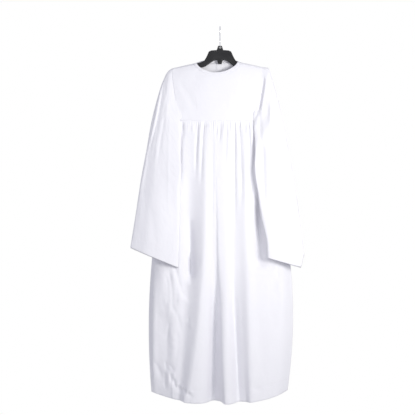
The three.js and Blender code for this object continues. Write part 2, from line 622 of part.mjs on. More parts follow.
export default await (async () => {
  const gown = new THREE.Group();
  gown.position.x = GOWN_OFFSET;
  addYokes(gown);
  addBinding(gown);
  addButton(gown);
  addSkirts(gown);
  addSleeve(gown, "left", LEFT_SLEEVE, -1);
  addSleeve(gown, "right", RIGHT_SLEEVE, 1);
  const parts = new THREE.Group();
  parts.add(gown);
  const wasm = await Module();
  wasm.setup();
  addHangerBody(parts, wasm);
  addHook(parts, wasm);
  return parts;
})();
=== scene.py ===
import math

import bmesh
import bpy
import numpy as np
from mathutils import Matrix, Vector


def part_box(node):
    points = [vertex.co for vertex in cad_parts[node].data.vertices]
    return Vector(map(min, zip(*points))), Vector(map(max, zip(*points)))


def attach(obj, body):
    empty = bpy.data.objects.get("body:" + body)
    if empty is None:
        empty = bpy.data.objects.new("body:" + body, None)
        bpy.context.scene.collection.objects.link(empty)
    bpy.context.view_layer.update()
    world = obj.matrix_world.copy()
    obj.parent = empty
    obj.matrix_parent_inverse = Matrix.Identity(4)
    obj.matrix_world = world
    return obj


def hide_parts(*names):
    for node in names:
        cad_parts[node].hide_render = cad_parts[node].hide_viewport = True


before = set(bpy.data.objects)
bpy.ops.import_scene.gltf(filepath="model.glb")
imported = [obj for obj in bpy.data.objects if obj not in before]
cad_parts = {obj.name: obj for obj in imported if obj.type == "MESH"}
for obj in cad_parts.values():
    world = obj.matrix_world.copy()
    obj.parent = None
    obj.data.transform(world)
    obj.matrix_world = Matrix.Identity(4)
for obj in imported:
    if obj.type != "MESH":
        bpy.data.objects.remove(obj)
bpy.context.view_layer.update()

# ---- The camera: level, in front of the gown and a little to the left of the hanger ----
# Its frame takes in the whole of it, from the top of the hook to the hem. Places are in metres.
camera_data = bpy.data.cameras.new("camera")
camera_data.sensor_width = 36
camera_data.lens = 64.45
camera = bpy.data.objects.new("camera", camera_data)
camera.location = (-0.04375, -2.6, -0.6317)
camera.rotation_euler = (math.pi / 2, 0, 0)
bpy.context.scene.collection.objects.link(camera)
bpy.context.scene.camera = camera

# ---- The cloth: a smooth white cotton and polyester, plain-woven and a little stiff ----
# Every panel below is one sheet of it. Their sizes are in millimetres, as on a pattern, and x = 0 is the
# gown's own middle, which hangs to the left of the hanger's.
MM = 0.001
GOWN_MIDDLE = -10
CLOTH_THICK = 0.9
TURNED_GAP = 1.3
THREADS_PER_METRE = 2400
CLOTH_WHITE = (0.85, 0.845, 0.887, 1)
CLOTH_SHADE = (0.81, 0.805, 0.849, 1)


class Socket:
    """A node's output, which adds Math nodes to its tree when it is used in an expression."""

    def __init__(self, tree, link):
        self.tree, self.link = tree, link

    def math(self, operation, *values):
        return self.tree.node("ShaderNodeMath", {"operation": operation}, dict(enumerate(values)))

    def __add__(self, other):
        return self.math("ADD", self, other)

    def __radd__(self, other):
        return self.math("ADD", other, self)

    def __mul__(self, other):
        return self.math("MULTIPLY", self, other)

    def __rmul__(self, other):
        return self.math("MULTIPLY", other, self)

    def sine(self):
        return self.math("SINE", self)


class NodeTree:
    """The nodes of a finish or of the room's light, each added by node()."""

    def __init__(self, tree):
        self.nodes, self.links = tree.nodes, tree.links

    def node(self, kind, settings={}, inputs={}, out=0):
        made = self.nodes.new(kind)
        for name, value in settings.items():
            setattr(made, name, value)
        for name, value in inputs.items():
            self.join(value, made.inputs[name])
        if isinstance(out, tuple):
            return [Socket(self, made.outputs[i]) for i in out]
        return Socket(self, made.outputs[out])

    def join(self, value, socket):
        if isinstance(value, Socket):
            self.links.new(value.link, socket)
        else:
            socket.default_value = value


class Finish(NodeTree):
    """A material for this object, with its nodes."""

    def __init__(self, name, **settings):
        self.material = bpy.data.materials.new(name)
        self.material.use_nodes = True
        super().__init__(self.material.node_tree)
        self.shader = self.nodes["Principled BSDF"]
        for socket, value in settings.items():
            self.shader.inputs[socket.replace("_", " ")].default_value = value

    def noise(self, x, y, z, detail=2):
        place = self.node("ShaderNodeCombineXYZ", {}, {"X": x, "Y": y, "Z": z})
        return self.node("ShaderNodeTexNoise", {}, {"Vector": place, "Scale": 1, "Detail": detail})

    def on_object(self):
        place = self.node("ShaderNodeTexCoord", {}, {}, out=3)
        return self.node("ShaderNodeSeparateXYZ", {}, {"Vector": place}, out=(0, 1, 2))

    def colour(self, share, first, second):
        mixed = self.node("ShaderNodeMix", {"data_type": "RGBA"}, {0: share, 6: first, 7: second}, out=2)
        self.join(mixed, self.shader.inputs["Base Color"])

    def relief(self, *layers):
        """Bumps, each a height from 0 to 1 and what that stands for in metres."""
        normal = None
        for height, deep in layers:
            inputs = {"Height": height, "Distance": deep, "Strength": 1}
            if normal:
                inputs["Normal"] = normal
            normal = self.node("ShaderNodeBump", {}, inputs)
        self.join(normal, self.shader.inputs["Normal"])


cloth = Finish("white_cloth", Roughness=0.8, Sheen_Weight=0.15, Sheen_Roughness=0.4)
on_cloth = cloth.node("ShaderNodeUVMap", {"uv_map": "threads"})
across_cloth, down_cloth = cloth.node("ShaderNodeSeparateXYZ", {}, {"Vector": on_cloth}, out=(0, 1))
warp = (across_cloth * (THREADS_PER_METRE * math.pi)).sine()
weft = (down_cloth * (THREADS_PER_METRE * math.pi)).sine()
uneven_warp = cloth.noise(across_cloth * THREADS_PER_METRE, down_cloth * 24, 0)
uneven_weft = cloth.noise(across_cloth * 24, down_cloth * THREADS_PER_METRE, 7)
rumpled = cloth.noise(across_cloth * 26, down_cloth * 19, 3, detail=4)
cloth.relief((rumpled, 0.0022), (warp * weft * 0.3 + (uneven_warp + uneven_weft) * 0.35, 0.00008))
cloth.colour(uneven_warp * 0.4 + uneven_weft * 0.4 + 0.1, CLOTH_WHITE, CLOTH_SHADE)


def blend(a, b, t):
    return a + (b - a) * t


def finished(name, shape, finish):
    """The object of a finished shape, which rides on the one body."""
    for face in shape.faces:
        face.smooth = True
    mesh = bpy.data.meshes.new(name)
    shape.to_mesh(mesh)
    shape.free()
    mesh.materials.append(finish.material)
    piece = bpy.data.objects.new(name, mesh)
    bpy.context.scene.collection.objects.link(piece)
    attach(piece, "root")
    return piece


def cloth_piece(name, point, across, down, cut, above=0, below=0):
    """One panel, whose point(u, v) is in millimetres: u runs across it and v down, each from 0 to 1."""
    shape = bmesh.new()
    bmesh.ops.create_grid(shape, x_segments=across, y_segments=down, size=0.5)
    grid = np.array([vert.co for vert in shape.verts])
    u, v = grid[:, 0] + 0.5, blend(-above, 1 + below, 0.5 - grid[:, 1])
    placed = np.stack(point(u, v), axis=1) * MM
    placed[:, 0] += GOWN_MIDDLE * MM
    threads = shape.loops.layers.uv.new("threads")
    for face in shape.faces:
        for loop in face.loops:
            i = loop.vert.index
            loop[threads].uv = (u[i] * cut[0], (1 - v[i]) * cut[1])
    for vert, place in zip(shape.verts, placed):
        vert.co = place
    piece = finished(name, shape, cloth)
    wall = piece.modifiers.new("wall", "SOLIDIFY")
    wall.thickness = CLOTH_THICK * MM
    wall.offset = 0
    return piece


# ---- The thread: white polyester, two plies, in rows of lock stitches, one to about every 3 mm ----
# A row shows as short raised stitches along the turned hem and cuffs and round the neck.
THREAD_RADIUS = 0.24
STITCH_PITCH = 3.1
STITCH_LONG = 2.3
THREAD_WHITE = (0.84, 0.835, 0.87, 1)
THREAD_SHADE = (0.7, 0.7, 0.76, 1)
thread = Finish("white_thread", Roughness=0.6, Sheen_Weight=0.2)
thread_x, thread_y, thread_z = thread.on_object()
plies = thread.noise(thread_x * 2600, thread_y * 2600, thread_z * 2600)
thread.relief((plies, 0.0001))
thread.colour(plies, THREAD_WHITE, THREAD_SHADE)


def normals(point, u, v, step=0.002):
    up = np.clip(v, step, 1 - step)
    across = np.stack(point(u + step, up)) - np.stack(point(u - step, up))
    down = np.stack(point(u, up + step)) - np.stack(point(u, up - step))
    normal = np.cross(across, down, axis=0)
    return normal / np.maximum(np.linalg.norm(normal, axis=0), 1e-9)


def stitch_row(name, *rows):
    """Stitches on the cloth. A row is a panel's point, its outward side, the line's v and its range of u."""
    shape = bmesh.new()
    for point, outwards, v, start, stop in rows:
        u = np.linspace(start, stop, 200)
        line = np.stack(point(u, np.full_like(u, v)))
        line += outwards * normals(point, u, np.full_like(u, v)) * (CLOTH_THICK / 2 + 0.3 * THREAD_RADIUS)
        gone = np.concatenate([[0], np.cumsum(np.linalg.norm(np.diff(line, axis=1), axis=0))])
        line[0] += GOWN_MIDDLE
        for middle in np.arange(STITCH_PITCH / 2, gone[-1] - STITCH_PITCH / 2, STITCH_PITCH):
            ends = [Vector([np.interp(middle + half, gone, axis) * MM for axis in line])
                    for half in (-STITCH_LONG / 2, STITCH_LONG / 2)]
            along = ends[1] - ends[0]
            turned = along.to_track_quat("Z", "Y").to_matrix().to_4x4()
            bmesh.ops.create_cone(shape, cap_ends=True, segments=5, radius1=THREAD_RADIUS * MM,
                                  radius2=THREAD_RADIUS * MM, depth=along.length,
                                  matrix=Matrix.Translation((ends[0] + ends[1]) / 2) @ turned)
    return finished(name, shape, thread)


# ---- The yokes: one plain front, and a back in two halves that meet at the middle behind ----
# Each is a single shaped sheet, seamed over the shoulder to the other and lying on the hanger's arms. The
# seams to the skirt and the sleeves have their turnings inside.
SHOULDER_HALF = 157
YOKE_HALF = 126
YOKE_SEAM_Z = -331
ARMPIT_HALF = 150
ARMPIT_Z = -375
SEAM_GAP = 0.3
TURNING = 8
NECK_HALF = 72
BINDING_WIDTH = 10
BACK_BINDING_WIDTH = BINDING_WIDTH - 1.4
BINDING_ENDS = 0.9965
BINDING_FOLD = 0.8
BINDING_STITCHES = (0.16, 0.01, 0.99)
RIDGE_CLEAR = 1.2
RIDGE_ROUND = 9
ROUND_SHARE = 0.3
NECK_EDGE = BINDING_WIDTH + 0.5
YOKE_TURNING = 0.03
YOKE_STITCHES = (0.235, 0.27, 0.73)
PLACKET = 0.09
PLACKET_GAP = 1.6
BACK_EDGE = 0.0035
FRONT_YOKE = {"side": -1, "bow": 12, "fill": 13, "fill_edge": 5, "lean": 0.04, "drop": 39}
BACK_YOKE = {"side": 1, "bow": 14, "fill": 6, "fill_edge": 4, "lean": 0.03, "drop": -14}
HANGER_TOP = ((16, -81), (30, -82), (39, -86), (43.5, -96), (49, -108), (55, -117.5), (63, -122.5),
              (84, -128), (130, -138), (168, -147))
CREASES = "x z to_x to_z wide deep bow"


def table(columns, rows):
    return [dict(zip(columns.split(), row)) for row in rows]


FRONT_YOKE_CREASES = table(CREASES, [
    (-128, -196, -60, -300, 9, -1.6, 5), (-142, -212, -96, -292, 7, 1.2, -4),
    (-60, -150, -96, -246, 14, -1.0, 6), (122, -200, 84, -282, 10, -1.3, -5),
    (70, -150, 96, -226, 13, -0.9, 4), (-20, -196, 30, -262, 18, -0.8, 5),
    (-112, -318, -40, -312, 7, -0.7, 2), (36, -306, 108, -318, 8, -0.7, -2)])
BACK_YOKE_CREASES = table(CREASES, [
    (-134, -190, -70, -290, 10, -1.6, -5), (130, -196, 74, -286, 9, -1.5, 5),
    (-40, -150, -80, -230, 13, -1.0, 5), (46, -156, 84, -236, 12, -1.1, -5),
    (96, -318, 30, -310, 8, -0.8, 2), (-104, -316, -34, -306, 8, -0.8, -2)])


def smooth(value, low, high):
    t = np.clip((value - low) / (high - low), 0, 1)
    return t * t * (3 - 2 * t)


def creased(x, z, rows):
    """What a table's troughs (deep below 0) and ridges add to a panel, each fading to its second end."""
    added = np.zeros_like(x)
    for row in rows:
        long = math.hypot(row["to_x"] - row["x"], row["to_z"] - row["z"])
        ahead_x, ahead_z = (row["to_x"] - row["x"]) / long, (row["to_z"] - row["z"]) / long
        t = ((x - row["x"]) * ahead_x + (z - row["z"]) * ahead_z) / long
        aside = (x - row["x"]) * ahead_z - (z - row["z"]) * ahead_x - row["bow"] * 4 * t * (1 - t)
        fade = smooth(t, -0.15, 0.12) * (1 - smooth(t, 0.55, 1.15))
        added += row["deep"] * fade / np.cosh(np.clip(aside / row["wide"], -30, 30))
    return added


def on_arm(x):
    return np.interp(np.abs(x + GOWN_MIDDLE), *zip(*HANGER_TOP)) + RIDGE_CLEAR


def ridge_z(x):
    x = np.asarray(x, float)
    low, high = on_arm(np.float64(-NECK_HALF)), on_arm(np.float64(NECK_HALF))
    return np.where(np.abs(x) >= NECK_HALF, on_arm(x), blend(low, high, (x + NECK_HALF) / (2 * NECK_HALF)))


def yoke_out(yoke, x, below):
    turned = np.sqrt(1 - (1 - np.clip(below / RIDGE_ROUND, 0, 1)) ** 2)
    from_neck = np.clip(np.abs(x) / (NECK_HALF + NECK_EDGE), 0, 1)
    over_neck = yoke["bow"] * np.sqrt(1 - from_neck**2) * (1 - turned)
    to_armhole = np.clip(np.abs(x) / SHOULDER_HALF, 0, 1)
    lower = np.maximum(below, 0)
    fill = blend(yoke["fill"], yoke["fill_edge"], to_armhole**2) * (1 - np.exp(-lower / 25))
    return SEAM_GAP / 2 + RIDGE_ROUND * turned + over_neck + fill + yoke["lean"] * lower


def armhole_half(z):
    tip = ridge_z(SHOULDER_HALF)
    s = np.clip((tip - z) / (tip - YOKE_SEAM_Z), 0, 1)
    return YOKE_HALF + (SHOULDER_HALF - YOKE_HALF) * np.cos(s * math.pi / 2)


def neck_edge(yoke, angle, wide):
    x = (NECK_HALF + wide) * np.maximum(np.cos(angle), 0) ** 1.11
    return x, (yoke["drop"] + wide) * np.maximum(np.sin(angle), 0) ** 1.2


def yoke_point(yoke, u, v, rows=()):
    """u from -1 at the left armhole to 1 at the right one, and v down, with the neck's turning above 0."""
    hand = np.where(u < 0, -1, 1)
    shoulder = np.clip(2 * np.abs(u) - 1, 0, 1)
    turning = TURNING * np.clip(-v / YOKE_TURNING, 0, 1) * smooth(1 - 2 * np.abs(u), 0.02, 0.2)
    v = np.maximum(v, 0)
    neck_x, neck_below = neck_edge(yoke, np.clip(1 - 2 * np.abs(u), 0, 1) * math.pi / 2, NECK_EDGE - turning)
    top_x = hand * blend(neck_x, SHOULDER_HALF, shoulder)
    top_z = ridge_z(top_x) - neck_below
    turn = RIDGE_ROUND * (1 - np.cos(np.minimum(v / ROUND_SHARE, 1) * math.pi / 2))
    bottom = YOKE_SEAM_Z + SEAM_GAP / 2
    height = ridge_z(top_x) - bottom
    fall = np.where(v < ROUND_SHARE, turn, blend(RIDGE_ROUND, height, (v - ROUND_SHARE) / (1 - ROUND_SHARE)))
    z = blend(top_z, bottom, fall / height)
    x = top_x * armhole_half(z) / armhole_half(top_z)
    inside = TURNED_GAP * smooth(turning, 0, 2)
    on_edge = smooth(ridge_z(x) - z, 12, 40) * smooth(z, bottom, bottom + 14)
    on_edge = on_edge * (1 - smooth(np.abs(x) / armhole_half(z), 0.9, 1))
    return x, yoke["side"] * (yoke_out(yoke, x, ridge_z(x) - z) - inside + on_edge * creased(x, z, rows)), z


def on_front_yoke(u, v):
    return yoke_point(FRONT_YOKE, 2 * u - 1, v, FRONT_YOKE_CREASES)


front_yoke = cloth_piece("front_yoke_panel", on_front_yoke, across=140, down=100, cut=(0.31, 0.21),
                         above=YOKE_TURNING)
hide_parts("front_yoke")


def on_left_back(u, v):
    """The left half of the back, whose placket passes the middle and lies under the right half."""
    x, y, z = yoke_point(BACK_YOKE, blend(-1, PLACKET, u), v, BACK_YOKE_CREASES)
    return x, y - PLACKET_GAP * smooth(x, -4, -0.5), z


def on_right_back(u, v):
    return yoke_point(BACK_YOKE, blend(BACK_EDGE, 1, u), v, BACK_YOKE_CREASES)


for side, point in (("left", on_left_back), ("right", on_right_back)):
    half = cloth_piece(f"back_yoke_{side}_panel", point, across=70, down=100, cut=(0.155, 0.22),
                       above=YOKE_TURNING)
    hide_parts(f"back_yoke_{side}")


def turned_in(point, outwards, gap=TURNED_GAP):
    """The same panel, whose rows past v = 1 lie back inside it as its turned edge."""
    def with_edge(u, v):
        inner = np.where(v > 1, 2 - v, v)
        return np.stack(point(u, inner)) - outwards * normals(point, u, inner) * gap * smooth(v, 1, 1.004)

    return with_edge


def binding_point(around, v):
    """The strip from its seam to the yoke, v = 0, to the neck's edge, v = 1, where it turns in."""
    w = 1 - v
    front = np.abs(around) <= math.pi / 2
    angle = np.abs(math.pi / 2 - np.abs(around))
    x_front, below_front = neck_edge(FRONT_YOKE, angle, w * BINDING_WIDTH)
    x_back, below_back = neck_edge(BACK_YOKE, angle, w * BACK_BINDING_WIDTH)
    x = np.sign(around) * np.where(front, x_front, x_back)
    below = np.where(front, below_front, below_back)
    as_on_yoke = x * (NECK_HALF + NECK_EDGE) / (NECK_HALF + w * BINDING_WIDTH)
    out = np.where(front, -yoke_out(FRONT_YOKE, as_on_yoke, below), yoke_out(BACK_YOKE, as_on_yoke, below))
    return x, out, ridge_z(x) - below


def on_binding(u, v):
    return binding_point((2 * u - 1) * math.pi * BINDING_ENDS, v)


def on_plain_yoke(u, v):
    return yoke_point(FRONT_YOKE, 2 * u - 1, v)


binding = cloth_piece("neck_binding_strip", turned_in(on_binding, 1, 2 * TURNED_GAP),
                      across=240, down=18, cut=(0.36, 0.01), below=BINDING_FOLD)
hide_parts("neck_binding")
neck_stitches = stitch_row("neck_stitches", (on_binding, 1, *BINDING_STITCHES),
                           (on_plain_yoke, 1, *YOKE_STITCHES))

# ---- The skirts: a full front and a full back, each gathered into its yoke and falling free to the hem ----
# A row of a table of folds is a line down the cloth: where it leaves the yoke, where it lies half-way down
# and at the hem, and how far out it stands there. Between two rows the cloth rolls over softly.
HEM_Z = -1303
HEM_SIDE_RISE = 30
HEM_HALF = 240
HEM_TURN = 0.05
HEM_STITCHES = (1 - HEM_TURN, 0.004, 0.996)
HEM_DITCH = 0.5
SKIRT_TURNING = TURNING / (YOKE_SEAM_Z - HEM_Z)
ARMHOLE_CURVE = 1.3
SIDE_CLEAR = 0.75
PUCKER_HIGH = 0.8
MID_V = 0.48
FOLDS = "top mid hem mid_out hem_out"
FRONT_FOLDS = table(FOLDS, [
    (-150, -227, -229, 3, 5), (-146, -211, -212, 15, 14), (-140, -190, -192, 25, 22),
    (-134, -168, -175, 32, 30), (-126, -146, -158, 41, 37), (-114, -122, -146, 40, 43),
    (-97, -104, -134, 38, 46), (-50, -46, -98, 64, 74), (-36, -34, -72, 62, 73), (-16, -20, -42, 56, 62),
    (-8, -12, -20, 54, 42), (-2, -3, 8, 54, 40), (4, 8, 26, 61, 78), (24, 26, 44, 61, 77),
    (45, 42, 64, 56, 64), (58, 56, 78, 48, 52), (70, 74, 96, 50, 54), (84, 100, 112, 58, 70),
    (108, 132, 146, 51, 64), (126, 170, 180, 46, 54), (141, 216, 210, 37, 38), (150, 253, 245, 3, 5)])
BACK_FOLDS = table(FOLDS, [
    (-150, -227, -229, -3, -5), (-141, -206, -196, 20, 30), (-126, -168, -172, 22, 26),
    (-104, -132, -140, 44, 54), (-92, -112, -122, 30, 28), (-62, -84, -88, 32, 34),
    (-50, -66, -70, 50, 62), (-26, -38, -44, 52, 64), (-16, -26, -30, 36, 32), (10, -4, -2, 36, 32),
    (22, 14, 16, 54, 66), (48, 52, 54, 52, 64), (58, 66, 68, 34, 32), (84, 96, 94, 34, 34),
    (96, 112, 112, 48, 58), (112, 142, 140, 44, 54), (126, 170, 168, 24, 30), (140, 220, 208, 22, 32),
    (150, 253, 245, -3, -5)])
FRONT_SKIRT_CREASES = table(CREASES, [
    # the gathers below the yoke, between the armholes
    (-124, -330, -127, -560, 3.4, -5, 1), (113, -346, 118, -500, 6, 5, 0),
    (-123, -326, -122, -366, 2.4, -3.6, 0), (-116, -326, -118, -392, 2.6, -3.6, 1),
    (-104, -326, -106, -360, 3, -1.8, 0), (-92, -326, -94, -372, 3, -2.1, 1),
    (-84, -326, -86, -356, 2.4, -2.1, 0), (-75, -326, -77, -376, 2.2, -3.6, 0),
    (-65, -326, -74, -520, 3, -5.1, 2), (-57, -326, -60, -352, 1.8, -2.4, 0),
    (-47, -326, -56, -560, 4, -5, 1), (-41, -326, -46, -362, 1.8, -3.6, 0),
    (-35, -326, -38, -356, 1.8, -3, 0), (-26, -326, -27, -350, 2.2, -1.8, 0),
    (-16, -326, -17, -366, 2.4, -1.8, 0), (1, -326, -4, -392, 2, -3.3, 0),
    (6, -326, 4, -356, 1.8, -2.4, 0), (14, -326, 8, -404, 2.2, -4.8, 1),
    (21, -326, 19, -362, 1.8, -2.7, 0), (33, -326, 28, -470, 2.6, -4, 0),
    (42, -326, 42, -372, 2.4, -2.4, 0), (52, -326, 51, -360, 2, -2.1, 0),
    (60, -326, 62, -690, 3.2, -5.5, 1), (69, -326, 70, -360, 1.8, -3, 0),
    (79, -326, 76, -372, 2.2, -3.9, 0), (74, -352, 84, -640, 5, -6, -4),
    (90, -326, 91, -362, 2.2, -2.1, 0), (99, -326, 97, -374, 2.2, -3.3, 0),
    (109, -326, 115, -470, 3, -4.5, 0), (118, -326, 119, -366, 2.2, -2.1, 0),
    # the grooves in the middle and to its right, deepest at the hem, and the full edge at the left
    (-12, -1306, -5, -850, 11, -30, 0), (71, -1302, 53, -880, 9, -17, 0),
    (-219, -900, -221, -1290, 11, 9, 0),
    # the hollow beside the right sleeve, deepest at the cuff, and a low ridge higher up
    (147, -822, 146, -600, 13, -27, 0), (131, -470, 134, -640, 7, 4, 0),
    # low ridges between the deepest gathers
    (-56, -332, -64, -470, 4, 2, 0), (68, -340, 73, -480, 4, 2.4, 0), (24, -336, 20, -460, 6, 1.6, 0),
    # below the left cuff: the cloth pushed out, a sharp crease that ends in a ledge, and hollows beside it
    (-192, -838, -190, -1010, 26, 15, 0), (-165, -852, -153, -946, 3.4, -2.6, -2),
    (-154, -930, -153, -990, 4, -2.4, 0), (-152, -976, -124, -1066, 5, -3, -5),
    (-146, -862, -124, -950, 7, 4.5, -4), (-136, -952, -100, -952, 8, 4, -4),
    (-146, -828, -114, -944, 5, -6, 4), (-91, -872, -95, -660, 8, -15, 0),
    (-92, -866, -92, -790, 7, -12, 0), (-176, -870, -170, -906, 3, -1.4, 0),
    (-190, -930, -180, -990, 6, -1.4, 3), (-166, -960, -172, -1016, 4, 1.6, -2),
    (-142, -990, -136, -1030, 5, 1.8, 0), (-164, -1030, -172, -1086, 3.4, -2.2, 2),
    (-173, -1066, -172, -1180, 8, -3, -2), (-198, -1020, -192, -1150, 9, 1.6, 4),
    (-154, -1070, -150, -1150, 8, 2, -3), (-162, -1088, -138, -1096, 3, -1.2, 1),
    (-164, -1116, -140, -1122, 3, -1.4, -1), (-136, -1070, -142, -1160, 5, -1.8, -3),
    (-96, -1020, -88, -1046, 4, 3, 0), (-100, -1012, -92, -1036, 3, -3, 0),
    # crumpled above the hem at the left
    (-216, -1170, -188, -1240, 6, -3.4, -4), (-178, -1166, -166, -1200, 4, -2.8, 4),
    (-166, -1174, -150, -1206, 3.4, -2.6, -4), (-180, -1204, -178, -1262, 3.6, -3, 2),
    (-170, -1200, -168, -1262, 4, 3.4, -2), (-160, -1206, -156, -1240, 3.6, -3.4, 2),
    (-152, -1196, -146, -1226, 3.4, 2.6, 0), (-158, -1236, -150, -1266, 3.2, 3, 1),
    (-150, -1224, -140, -1256, 3.2, -4.4, 1), (-142, -1238, -132, -1250, 3, 3, 0),
    (-136, -1246, -122, -1264, 4, -6, 2), (-124, -1244, -116, -1256, 3, 3, 0),
    (-120, -1254, -104, -1264, 4, -6.5, -2), (-108, -1250, -100, -1262, 3, 3.4, 0),
    (-102, -1262, -82, -1278, 4, -6, 2), (-94, -1256, -84, -1266, 3, 2.4, 0),
    (-155, -1262, -153, -1296, 3, 2.4, 0), (-114, -1270, -112, -1312, 3, 3, 0),
    (-132, -1276, -130, -1306, 5, -1.6, 0), (-96, -1284, -95, -1312, 4, -1.6, 0),
    # the right side, below the cuff
    (206, -836, 210, -880, 4, -3.5, 0), (196, -868, 208, -960, 10, -2, 3),
    (222, -880, 218, -1010, 12, 2, -3), (150, -1010, 160, -1190, 16, -2.4, 5),
    (186, -1060, 182, -1230, 14, 2, 4), (120, -1236, 150, -1262, 8, -2, 2)])
BACK_SKIRT_CREASES = table(CREASES, [
    (-120, -326, -122, -380, 2.4, -2.4, 0), (-108, -326, -112, -470, 3, -4, 2),
    (-96, -326, -97, -366, 2.2, -2, 0), (-86, -326, -90, -520, 3.4, -5.5, 0),
    (-74, -326, -74, -370, 2.2, -2.2, 0), (-64, -326, -67, -420, 2.6, -3, 1),
    (-53, -326, -53, -360, 2, -2, 0), (-42, -326, -48, -560, 3.6, -6, 0),
    (-31, -326, -32, -376, 2.2, -2.4, 0), (-20, -326, -22, -430, 2.6, -3, 0),
    (-9, -326, -9, -366, 2, -2, 0), (2, -326, -1, -500, 3, -4.5, 1), (12, -326, 13, -372, 2.2, -2.2, 0),
    (23, -326, 26, -560, 3.6, -6, 0), (34, -326, 34, -366, 2.2, -2.2, 0),
    (44, -326, 46, -420, 2.6, -3.2, 0), (55, -326, 60, -540, 3.4, -5.5, -1),
    (66, -326, 67, -370, 2.2, -2.2, 0), (77, -326, 80, -440, 2.8, -3.4, 0),
    (88, -326, 88, -366, 2.2, -2, 0), (99, -326, 104, -500, 3, -4.5, 0),
    (110, -326, 112, -374, 2.2, -2.2, 0), (120, -326, 124, -420, 2.6, -2.6, 0),
    (-160, -860, -150, -1000, 7, -6, 3), (-142, -960, -128, -1090, 8, 5, -4),
    (150, -880, 144, -1010, 8, -6, -4), (166, -980, 156, -1130, 8, 5, 3),
    (-176, -1180, -160, -1262, 5, -4, 2), (-154, -1200, -146, -1270, 5, 4, 0),
    (-80, -1240, -30, -1264, 7, -4, 3), (40, -1250, 96, -1262, 7, -3.5, -2),
    (170, -1190, 158, -1262, 5, -4, 0), (14, -900, 24, -1060, 12, -3, 4),
    (-40, -980, -52, -1140, 12, 3, -5), (96, -940, 104, -1100, 10, -3, 3)])


def column(rows, name):
    return np.array([row[name] for row in rows], float)


def through(places, values, at):
    """A smooth curve through values at their places, read at other places."""
    slopes = np.gradient(values, places, axis=0)
    i = np.clip(np.searchsorted(places, at, side="right") - 1, 0, len(places) - 2)
    wide = places[i + 1] - places[i]
    t = (at - places[i]) / wide

    def pick(rows, k):
        return rows[k] if rows.ndim == 1 else rows[k, np.arange(len(k))]

    low, high = pick(values, i), pick(values, i + 1)
    lead, follow = pick(slopes, i) * wide, pick(slopes, i + 1) * wide
    rise = high - low
    return low + t * (lead + t * (3 * rise - 2 * lead - follow + t * (lead + follow - 2 * rise)))


def three_point(top, mid, end, v_mid, v):
    return (top * (v - v_mid) * (v - 1) / v_mid + mid * v * (v - 1) / (v_mid * (v_mid - 1))
            + end * v * (v - v_mid) / (1 - v_mid))


def lower_armhole(yoke, t):
    corner = yoke_out(yoke, YOKE_HALF, ridge_z(YOKE_HALF) - YOKE_SEAM_Z)
    out = corner * np.sqrt(np.maximum(0, 1 - t * t)) + SIDE_CLEAR * t
    x = blend(YOKE_HALF, ARMPIT_HALF, t**ARMHOLE_CURVE)
    return x, blend(YOKE_SEAM_Z, ARMPIT_Z, t) - SEAM_GAP / 2, out


def skirt_top(yoke, x):
    t = np.clip((np.abs(x) - YOKE_HALF) / (ARMPIT_HALF - YOKE_HALF), 0, 1) ** (1 / ARMHOLE_CURVE)
    _, side_z, side_out = lower_armhole(yoke, t)
    inside = np.abs(x) <= YOKE_HALF
    return (np.where(inside, YOKE_SEAM_Z - SEAM_GAP / 2, side_z),
            np.where(inside, yoke_out(yoke, x, ridge_z(x) - YOKE_SEAM_Z), side_out))


def skirt_width(folds):
    """The cloth's width from the left side seam to each line: the mean of hem and half-way down."""
    at_hem = np.hypot(np.diff(column(folds, "hem")), np.diff(column(folds, "hem_out")))
    at_mid = np.hypot(np.diff(column(folds, "mid")), np.diff(column(folds, "mid_out")))
    return np.concatenate([[0], np.cumsum((at_hem + at_mid) / 2)])


def skirt_point(yoke, folds, rows, u, v):
    side = yoke["side"]
    place = skirt_width(folds)
    top_x, mid_x, hem_x, mid_out, hem_out = (through(place, column(folds, name), np.clip(u, 0, 1) * place[-1])
                                             for name in FOLDS.split())
    top_z, top_out = skirt_top(yoke, top_x)
    hem_z = HEM_Z + HEM_SIDE_RISE * (np.abs(hem_x) / HEM_HALF) ** 2.5
    sewn_on = 1 - smooth(np.abs(top_x), YOKE_HALF - 4, YOKE_HALF)
    turning = np.maximum(-v, 0) * (YOKE_SEAM_Z - HEM_Z) * sewn_on
    v = np.maximum(v, 0)
    at_ends = 1 - smooth(np.abs(top_x), YOKE_HALF - 14, YOKE_HALF)
    puckered = smooth(v, 0, 0.008) * (1 - smooth(v, 0.01, 0.06))
    pucker = PUCKER_HIGH * puckered * at_ends * np.sin(top_x * 0.86 + 1.7 * np.sin(top_x * 0.11))
    sewn = HEM_DITCH * np.exp(-((v - 1 + HEM_TURN) / 0.004) ** 2)
    out = three_point(top_out, mid_out + SIDE_CLEAR, hem_out + SIDE_CLEAR, MID_V, v) + pucker - sewn
    x = three_point(top_x, mid_x, hem_x, MID_V, v)
    z = blend(top_z, hem_z, v)
    free = smooth(v, 0, 0.012) * smooth(u, 0, 0.03) * (1 - smooth(u, 0.97, 1))
    out = out + free * creased(x, z, rows) - TURNED_GAP * smooth(turning, 0, 3)
    return x, side * out, z + turning


for name, yoke, folds, rows, yoke_panels in (
        ("front", FRONT_YOKE, FRONT_FOLDS, FRONT_SKIRT_CREASES, ["front_yoke_panel"]),
        ("back", BACK_YOKE, BACK_FOLDS, BACK_SKIRT_CREASES,
         ["back_yoke_left_panel", "back_yoke_right_panel"])):
    def on_skirt(u, v):
        return skirt_point(yoke, folds, rows, u, v)

    skirt = cloth_piece(f"{name}_skirt_panel", turned_in(on_skirt, yoke["side"]), across=236, down=200,
                        cut=(0.6, 0.97), above=SKIRT_TURNING, below=HEM_TURN)
    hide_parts(f"{name}_skirt")
    hem_stitches = stitch_row(f"{name}_hem_stitches", (on_skirt, yoke["side"], *HEM_STITCHES))

